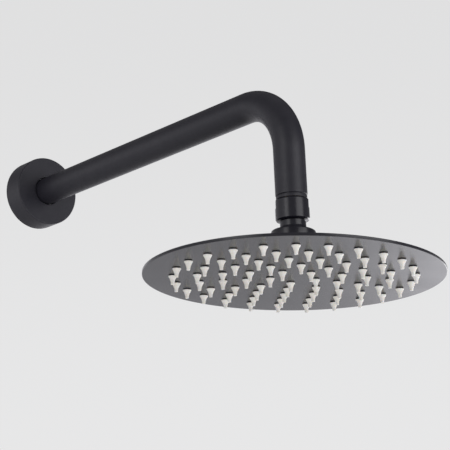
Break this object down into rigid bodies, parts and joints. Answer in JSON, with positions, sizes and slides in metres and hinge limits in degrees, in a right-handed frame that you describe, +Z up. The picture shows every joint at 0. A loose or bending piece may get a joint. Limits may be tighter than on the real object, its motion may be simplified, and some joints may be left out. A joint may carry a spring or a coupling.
{
  "type": "wall-mounted rain shower arm and head",
  "caption": "Bent wall arm with a round cup flange and an ultra-thin round rain head with soft nozzles on a ball swivel.",
  "frame": {"origin": "on the arm's axis at the wall plane, on the inlet thread", "axes": "+Z up; +Y along the inlet thread into the wall; the arm runs along -Y and the head hangs below at -Z"},
  "size_m": [0.203, 0.4311, 0.1694],
  "materials": {
    "satin_black": "satin",
    "gloss_black": "gloss",
    "brushed_black": "brushed",
    "brass_fitting": "machined",
    "black_rubber": "matte",
    "nozzle_silicone": "matte",
    "white_plastic": "matte",
    "steel_screen": "woven"
  },
  "bodies": {
    "arm": {"wall_flange": "satin_black", "flange_grip_ring": "black_rubber", "flange_wall_gasket": "black_rubber", "arm_tube": "satin_black", "wall_nipple": "brass_fitting", "outlet_nipple": "brass_fitting", "swivel_connector": "gloss_black", "connector_washer": "black_rubber", "inlet_strainer": "steel_screen", "flow_restrictor": "white_plastic", "restrictor_o_ring": "black_rubber"},
    "ball_seat": {"ball_seat_ring": "white_plastic"},
    "seal": {"ball_seal": "black_rubber"},
    "head": {"retaining_nut": "gloss_black", "head_hub": "gloss_black", "reinforcing_disc": "gloss_black", "head_top_plate": "brushed_black", "head_spray_plate": "brushed_black", "nozzle_ring_1": "nozzle_silicone", "nozzle_ring_2": "nozzle_silicone", "nozzle_ring_3": "nozzle_silicone", "nozzle_ring_4": "nozzle_silicone", "nozzle_ring_5": "nozzle_silicone"}
  },
  "joints": [
    {"name": "head_tilt_front", "type": "hinge", "parent": "arm", "child": "ball_seat", "pos_m": [0, -0.3155, -0.0999], "axis": [1, 0, 0], "range_deg": [-9, 9]},
    {"name": "head_tilt_side", "type": "hinge", "parent": "ball_seat", "child": "seal", "pos_m": [0, -0.3155, -0.0999], "axis": [0, 1, 0], "range_deg": [-12.2, 5.8]},
    {"name": "head_spin", "type": "hinge", "parent": "seal", "child": "head", "pos_m": [0, -0.3155, -0.0999], "axis": [0.0558, 0, 0.9984], "continuous": true}
  ]
}
